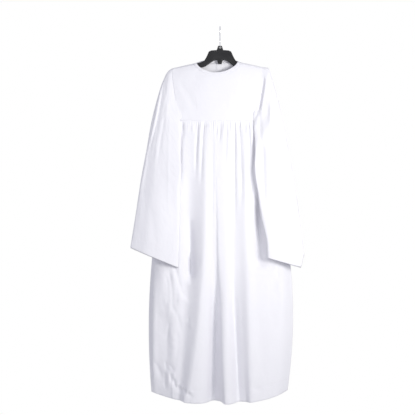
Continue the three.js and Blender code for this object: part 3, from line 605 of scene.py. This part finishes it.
# ---- The sleeves: long and bell-shaped, hanging down and a little outwards from the shoulder ----
# Each is a front and a back panel, seamed along the outside of the arm and under it. A row of a sleeve's
# table is one level down it: its outer fold, its inner one, and how far the two layers stand out between.
SECTIONS = "out_x out_z out_y in_x in_z in_y edge third inner back back_in tuck dip"
LEFT_SLEEVE = table(SECTIONS, [
    (170, -155, 0, 160, -393, -12, 19, 20, 20, 22, 22, 33, 0),
    (181, -172, 0, 163, -425, -22, 19, 20, 19, 18, 18, 38, 0),
    (200, -222, -4, 150, -470, -30, 19, 20, 18, 16, 8, 28, 0),
    (227, -327, -12, 138, -530, -39, 18, 19, 18, 15, 5, 24, 0),
    (245, -432, -20, 130, -590, -43, 15, 19, 17, 15, 3, 6, 0),
    (264, -536, -26, 129, -660, -45, 13, 19, 16, 15, 3, 0, 0),
    (282, -658, -30, 131, -745, -47, 13, 20, 15, 15, 3, 0, 0),
    (300, -771, -34, 134, -839, -48, 13, 20, 15, 16, 3, 0, 0)])
RIGHT_SLEEVE = table(SECTIONS, [
    (180, -146, 0, 160, -393, -12, 20, 20, 23, 22, 22, 36, 0),
    (190, -175, 0, 166, -425, -25, 18, 19, 18, 18, 18, 40, 0),
    (203, -222, -4, 156, -470, -39, 18, 19, 17, 16, 12, 32, 0),
    (229, -327, -10, 140, -530, -47, 18, 19, 16, 15, 4, 22, 0),
    (247, -432, -16, 141, -600, -53, 17, 19, 16, 15, 4, 8, 0),
    (266, -536, -22, 153, -675, -58, 17, 19, 16, 15, 8, 0, 0),
    (284, -662, -28, 168, -742, -64, 17, 19, 15, 15, 12, 0, 10),
    (300, -797, -34, 172, -804, -68, 17, 19, 15, 16, 12, 0, 46)])
LEFT_SLEEVE_CREASES = table(CREASES, [
    (-197, -226, -241, -436, 3, 2.4, -3), (-190, -226, -234, -436, 3.4, -2.6, -3),
    (-241, -436, -268, -600, 3, 1.6, 0), (-182, -222, -222, -470, 3.4, -1.6, 3),
    (-182, -318, -208, -490, 3.6, -1.8, 0), (-211, -380, -212, -500, 7, 1.6, 0),
    (-166, -330, -166, -660, 4, 0.8, 2), (-236, -470, -256, -700, 12, -1.6, 4),
    (-172, -240, -196, -330, 5, -1.4, -3), (-200, -560, -192, -800, 18, 1.6, 8),
    (-150, -560, -144, -760, 12, -1.2, -4), (-228, -640, -214, -780, 10, -1.4, -6),
    (-258, -600, -270, -740, 8, 1.2, 3), (-176, -180, -190, -228, 4, -1.4, 0)])
RIGHT_SLEEVE_CREASES = table(CREASES, [
    (161, -190, 130, -334, 3.4, -5, -3), (170, -186, 139, -346, 5, 5, -3),
    (152, -236, 146, -350, 4, -3.5, 1), (146, -322, 158, -480, 4, -3, 2),
    (157, -430, 164, -640, 5, -6.5, 2), (186, -330, 196, -560, 8, 2, 4),
    (212, -420, 226, -680, 12, -2.4, 6), (236, -560, 250, -760, 10, 2, -4),
    (208, -800, 282, -762, 6, -4, -3), (196, -690, 188, -800, 9, -2.4, 3),
    (176, -180, 190, -236, 5, -2, 0)])
SLEEVE_BACK_CREASES = table(CREASES, [
    (180, -230, 208, -420, 5, -4, 4), (170, -320, 184, -520, 6, -4, -3), (206, -400, 222, -640, 10, 3, 5),
    (230, -480, 252, -720, 9, -3, -4), (186, -560, 190, -780, 12, -2.6, 5),
    (160, -520, 156, -700, 9, 2, 3), (250, -660, 262, -790, 8, 2, 0)])
YOKE_ROWS = [0, 0.1, 0.2, 0.3, 0.4, 0.52, 0.64, 0.76, 0.88, 1]
HALF_RING = 12
YOKE_PART = 9
SLEEVE_SETBACK = 1.8
SLEEVE_TURNING = 0.012
CUFF_TURN = 0.045
CUFF_STITCHES = (1 - CUFF_TURN, 0.01, 0.99)
PANEL_START, PANEL_END = 0.0002, 0.4998


def armhole_point(yoke, hand, k, turning):
    on_yoke = np.interp(k, np.arange(len(YOKE_ROWS)), YOKE_ROWS)
    x, y, z = yoke_point(yoke, hand * np.ones_like(k), on_yoke)
    under = TURNING * turning * smooth(k, 0.8, 3) * (1 - smooth(k, YOKE_PART - 0.6, YOKE_PART))
    inner_x = x - hand * under
    inner_out = yoke_out(yoke, inner_x, ridge_z(inner_x) - z) - TURNED_GAP * smooth(under, 0, 2)
    x, y = inner_x + hand * 2 * SEAM_GAP, yoke["side"] * inner_out
    y = y + yoke["side"] * SLEEVE_SETBACK * smooth(k, YOKE_PART - 3, YOKE_PART)
    t = np.clip((k - YOKE_PART) / (HALF_RING - YOKE_PART), 0, 1)
    half, low_z, out = lower_armhole(yoke, t)
    low_x = hand * (half + blend(2 * SEAM_GAP, SLEEVE_SETBACK, t))
    low_y = yoke["side"] * (out + SLEEVE_SETBACK * np.sqrt(1 - t * t))
    up = k <= YOKE_PART
    return np.stack([np.where(up, x, low_x), np.where(up, y, low_y), np.where(up, z, low_z + SEAM_GAP)],
                    axis=1)


def section_point(row, hand, front, w):
    inwards = (1 - np.cos(w * math.pi)) / 2
    bulge = np.maximum(4 * inwards * (1 - inwards), 0) ** 0.3
    depth = np.where(inwards < 0.35, blend(row["edge"], row["third"], smooth(inwards, 0, 0.35)),
                     blend(row["third"], row["inner"], smooth(inwards, 0.35, 1)))
    behind = blend(row["back"], row["back_in"], smooth(inwards, 0.4, 0.75))
    tucked = np.where(front & (w > 0.5), np.sin((w - 0.5) * 2 * math.pi) ** 2, 0)
    dipped = np.where(front, (1 - inwards) * smooth(inwards, 0, 0.12), 0)
    x = blend(row["out_x"], row["in_x"], inwards) - row["tuck"] * tucked
    middle = blend(row["out_y"], row["in_y"], inwards)
    y = np.where(front, middle - depth * bulge - min(row["tuck"], 4) * tucked, middle + behind * bulge)
    z = blend(row["out_z"], row["in_z"], inwards) - row["dip"] * dipped
    return np.stack([hand * x, y, z], axis=1)


def sleeve_point(rows, hand, fronts, backs, u, v):
    around = np.mod(u, 1) * 2 * HALF_RING
    front = around <= HALF_RING
    k = np.where(front, around, 2 * HALF_RING - around)
    turning = np.clip(-v / SLEEVE_TURNING, 0, 1)
    armhole = np.where(front[:, None], armhole_point(FRONT_YOKE, hand, k, turning),
                       armhole_point(BACK_YOKE, hand, k, turning))
    sections = [armhole] + [section_point(row, hand, front, k / HALF_RING) for row in rows]
    levels = np.linspace(0, 1, len(sections))
    x, y, z = (through(levels, np.stack([s[:, axis] for s in sections]), np.clip(v, 0, 1))
               for axis in range(3))
    free = smooth(np.sin(k / HALF_RING * math.pi), 0.03, 0.2) * smooth(v, 0, 0.03)
    worn = np.where(front, -creased(x, z, fronts), creased(hand * x, z, backs))
    return x, y + free * worn, z


for side, rows, fronts, hand in (("left", LEFT_SLEEVE, LEFT_SLEEVE_CREASES, -1),
                                 ("right", RIGHT_SLEEVE, RIGHT_SLEEVE_CREASES, 1)):
    for layer, start in (("front", 0), ("back", 0.5)):
        def on_sleeve(u, v):
            around = start + blend(PANEL_START, PANEL_END, u)
            return sleeve_point(rows, hand, fronts, SLEEVE_BACK_CREASES, around, v)

        sleeve = cloth_piece(f"{side}_sleeve_{layer}_panel", turned_in(on_sleeve, hand), across=120, down=190,
                             cut=(0.24, 0.7), above=SLEEVE_TURNING, below=CUFF_TURN)
        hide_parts(f"{side}_sleeve_{layer}")
        cuff_stitches = stitch_row(f"{side}_cuff_{layer}_stitches", (on_sleeve, hand, *CUFF_STITCHES))

# ---- The button: a small round one of white pearly plastic, sewn on through four holes behind the neck ----
# It closes the back yokes' placket. The face is dished inside a raised rim.
BUTTON_PROFILE = ((0, 0), (0.7, 0), (1.9, 0), (2.8, 0), (4.1, 0.2), (4.9, 0.7), (5.5, 0.75), (6, 0.3))
BUTTON_THICK = 1.9
BUTTON_ROUND = 0.25
BUTTON_STEPS = 24
STRAND_RADIUS = 0.3
STRAND_ASIDE = 0.28
STRAND_LONG = 3
SECOND_BAR_LIFT = 0.15
HOLES = 4
HOLE_RING = (0.7, 1.9)
PEARL = (0.84, 0.83, 0.82, 1)
PEARL_SHADE = (0.74, 0.75, 0.78, 1)
pearl = Finish("pearl_plastic", Roughness=0.28, Coat_Weight=0.35, Coat_Roughness=0.15)
button_x, button_y, button_z = pearl.on_object()
swirl = pearl.noise(button_x * 260, button_y * 120, button_z * 520, detail=3)
pearl.colour(swirl, PEARL, PEARL_SHADE)
pearl.relief((pearl.noise(button_x * 1800, button_y * 1800, button_z * 1800), 0.00003))
shape = bmesh.new()
profile = [shape.verts.new((x * MM, 0, z * MM)) for x, z in BUTTON_PROFILE]
edges = [shape.edges.new(pair) for pair in zip(profile, profile[1:])]
bmesh.ops.spin(shape, geom=profile + edges, cent=(0, 0, 0), axis=(0, 0, 1), dvec=(0, 0, 0), angle=2 * math.pi,
               steps=BUTTON_STEPS, use_merge=True, use_duplicate=False)
bmesh.ops.remove_doubles(shape, verts=shape.verts[:], dist=0.02 * MM)
holes = []
for face in shape.faces:
    middle = face.calc_center_median() / MM
    turn = math.atan2(middle.y, middle.x) * HOLES / (2 * math.pi)
    if HOLE_RING[0] < math.hypot(middle.x, middle.y) < HOLE_RING[1] and abs(turn - round(turn)) < 0.2:
        holes.append(face)
bmesh.ops.delete(shape, geom=holes, context="FACES")
bmesh.ops.recalc_face_normals(shape, faces=shape.faces[:])
low, high = (Vector(corner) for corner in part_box("back_button"))
seat = Matrix.Translation((low + high) / 2) @ Matrix.Rotation(-math.pi / 2, 4, "X")
bmesh.ops.transform(shape, matrix=seat @ Matrix.Rotation(math.pi / 4, 4, "Z"), verts=shape.verts[:])
button = finished("back_button_disc", shape, pearl)
button_wall = button.modifiers.new("wall", "SOLIDIFY")
button_wall.thickness = BUTTON_THICK * MM
button_wall.offset = 0
button_round = button.modifiers.new("round", "BEVEL")
button_round.width = BUTTON_ROUND * MM
button_round.segments = 2
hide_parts("back_button")

shape = bmesh.new()
for turn, lift in ((math.pi / 4, 0), (3 * math.pi / 4, SECOND_BAR_LIFT)):
    over = Matrix.Translation((0, 0, (BUTTON_THICK / 2 + STRAND_RADIUS + lift) * MM))
    bar = seat @ Matrix.Rotation(turn, 4, "Z") @ over
    for aside in (-STRAND_ASIDE, STRAND_ASIDE):
        strand = bar @ Matrix.Translation((0, aside * MM, 0)) @ Matrix.Rotation(math.pi / 2, 4, "Y")
        bmesh.ops.create_cone(shape, cap_ends=True, segments=8, radius1=STRAND_RADIUS * MM,
                              radius2=STRAND_RADIUS * MM, depth=STRAND_LONG * MM, matrix=strand)
finished("button_thread", shape, thread)

# ---- The hanger: one moulding of black plastic, with a hook of bright wire held in its hub ----
# The arms have two low ribs along each face, and there is a small round boss below the hub.
ARM_EDGES = ((18, -84, -116), (30, -85, -122.5), (39, -89, -130), (43.5, -98, -133), (49, -109, -137),
             (55, -119, -139.5), (63, -124, -142), (84, -129.5, -146), (130, -139.5, -153), (160, -146, -157))
HANGER_FACE = 4.5
RIBS = (0.3, 0.68)
RIB_HALF = 1.1
RIB_HIGH = 0.7
RIB_SUNK = 0.1
BOSS = (-5, -92)
BOSS_RADIUS = 3.2
BOSS_LONG = 1.6
CHARCOAL = (0.006, 0.006, 0.007, 1)
CHARCOAL_WORN = (0.032, 0.032, 0.034, 1)
plastic = Finish("charcoal_plastic", Roughness=0.5, Specular_IOR_Level=0.3)
moulded_x, moulded_y, moulded_z = plastic.on_object()
grain = plastic.noise(moulded_x * 1400, moulded_y * 1400, moulded_z * 1400)
flow = plastic.noise(moulded_x * 18, moulded_y * 60, moulded_z * 40, detail=3)
plastic.relief((grain, 0.00006), (flow, 0.0004))
plastic.colour(flow * 0.7 + grain * 0.3, CHARCOAL, CHARCOAL_WORN)
plastic.join(flow * 0.24 + 0.3, plastic.shader.inputs["Roughness"])
shape = bmesh.new()
for hand in (-1, 1):
    for face_side in (-1, 1):
        for share in RIBS:
            made = bmesh.ops.create_grid(shape, x_segments=48, y_segments=6, size=0.5)["verts"]
            for vert in made:
                far, aside = blend(ARM_EDGES[0][0], ARM_EDGES[-1][0], vert.co.x + 0.5), 2 * vert.co.y
                top, bottom = (np.interp(far, [row[0] for row in ARM_EDGES], [row[i] for row in ARM_EDGES])
                               for i in (1, 2))
                to_end = 1 - (2 * abs(vert.co.x)) ** 12
                raised = RIB_HIGH * math.cos(aside * math.pi / 2) * to_end - RIB_SUNK
                vert.co = (hand * far * MM, face_side * (HANGER_FACE + raised) * MM,
                           (blend(top, bottom, share) + RIB_HALF * aside) * MM)
for face_side in (-1, 1):
    boss = bmesh.ops.create_cone(shape, cap_ends=True, segments=24, radius1=BOSS_RADIUS * MM,
                                 radius2=0.8 * BOSS_RADIUS * MM, depth=BOSS_LONG * MM)["verts"]
    on_face = Matrix.Translation((BOSS[0] * MM, face_side * HANGER_FACE * MM, BOSS[1] * MM))
    facing_out = Matrix.Rotation(face_side * -math.pi / 2, 4, "X")
    bmesh.ops.transform(shape, verts=boss, matrix=on_face @ facing_out)
bmesh.ops.recalc_face_normals(shape, faces=shape.faces[:])
finished("hanger_ribs", shape, plastic)

CHROME = (0.9, 0.9, 0.91, 1)
CHROME_SHADE = (0.8, 0.8, 0.82, 1)
chrome = Finish("bright_wire", Metallic=1.0, Roughness=0.22)
wire_x, wire_y, wire_z = chrome.on_object()
drawn = chrome.noise(wire_x * 900, wire_y * 900, wire_z * 60)
chrome.relief((drawn, 0.00002))
chrome.colour(drawn, CHROME, CHROME_SHADE)
chrome.join(drawn * 0.16 + 0.16, chrome.shader.inputs["Roughness"])
for node, finish in (("hanger_body", plastic), ("hanger_hook", chrome)):
    for material_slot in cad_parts[node].material_slots:
        material_slot.material = finish.material

# ---- The room: a pale floor 0.2 m below the hem, two soft lamps, and a glow as of a pale wall behind ----
# The key lamp is at the right and the weaker fill at the left, both a little below the yoke. The room's own
# light is nearly twice as strong from behind, and a little stronger from the left. Sizes are in metres.
ROOM_LIGHT = (0.935, 0.945, 1.04, 1)
ROOM_GLOW = 0.51
WALL_GLOW = 0.45
SIDE_GLOW = -0.03
FLOOR_PALE = (0.82, 0.82, 0.81, 1)
FLOOR_SHADE = (0.76, 0.76, 0.755, 1)
FLOOR_WIDE = 4
FLOOR_DEEP = 1.6
FLOOR_MIDDLE_Y = -0.4
FLOOR_Z = -1.5
floor_mesh = bpy.data.meshes.new("floor")
shape = bmesh.new()
bmesh.ops.create_grid(shape, x_segments=1, y_segments=1, size=0.5)
for vert in shape.verts:
    vert.co = (vert.co.x * FLOOR_WIDE, FLOOR_MIDDLE_Y + vert.co.y * FLOOR_DEEP, FLOOR_Z)
shape.to_mesh(floor_mesh)
shape.free()
floor = bpy.data.objects.new("floor", floor_mesh)
bpy.context.scene.collection.objects.link(floor)
floor_finish = Finish("pale_floor", Roughness=0.9)
floor_x, floor_y, floor_z = floor_finish.on_object()
laid = floor_finish.noise(floor_x * 9, floor_y * 9, floor_z)
floor_grain = floor_finish.noise(floor_x * 420, floor_y * 420, floor_z, 3)
floor_finish.colour(laid * 0.6 + floor_grain * 0.4, FLOOR_PALE, FLOOR_SHADE)
floor_finish.relief((floor_grain, 0.0003))
floor_mesh.materials.append(floor_finish.material)

world = bpy.data.worlds.new("white_room")
world.use_nodes = True
air = NodeTree(world.node_tree)
seen = air.nodes["Background"]
seen.inputs["Color"].default_value = (1, 1, 1, 1)
towards_x, towards_y = air.node("ShaderNodeSeparateXYZ", {}, {0: air.node("ShaderNodeTexCoord")}, out=(0, 1))
behind = air.node("ShaderNodeMath", {"operation": "MAXIMUM"}, {0: towards_y, 1: 0})
glow = towards_x * SIDE_GLOW + (behind * WALL_GLOW + ROOM_GLOW)
lit = air.node("ShaderNodeBackground", {}, {"Color": ROOM_LIGHT, "Strength": glow})
to_camera = air.node("ShaderNodeLightPath")
shown = air.node("ShaderNodeMixShader", {}, {0: to_camera, 1: lit, 2: Socket(air, seen.outputs[0])})
air.join(shown, air.nodes["World Output"].inputs["Surface"])
bpy.context.scene.world = world


def lamp(name, place, aim, size, energy):
    """A soft square lamp at its place, turned to its aim."""
    light = bpy.data.lights.new(name, "AREA")
    light.size = size
    light.energy = energy
    stand = bpy.data.objects.new(name, light)
    stand.location = place
    stand.rotation_euler = (stand.location - Vector(aim)).to_track_quat("Z", "Y").to_euler()
    bpy.context.scene.collection.objects.link(stand)
    return light


key = lamp("key", (1.15, -1.6, -0.42), (0, 0, -0.35), size=0.65, energy=11.6)
key.spread = math.radians(120)
key.color = (1, 0.99, 0.945)
lamp("fill", (-0.4, -1.35, -0.5), (0, 0, -0.3), size=0.8, energy=3.1)

bpy.context.scene.view_settings.view_transform = "Standard"
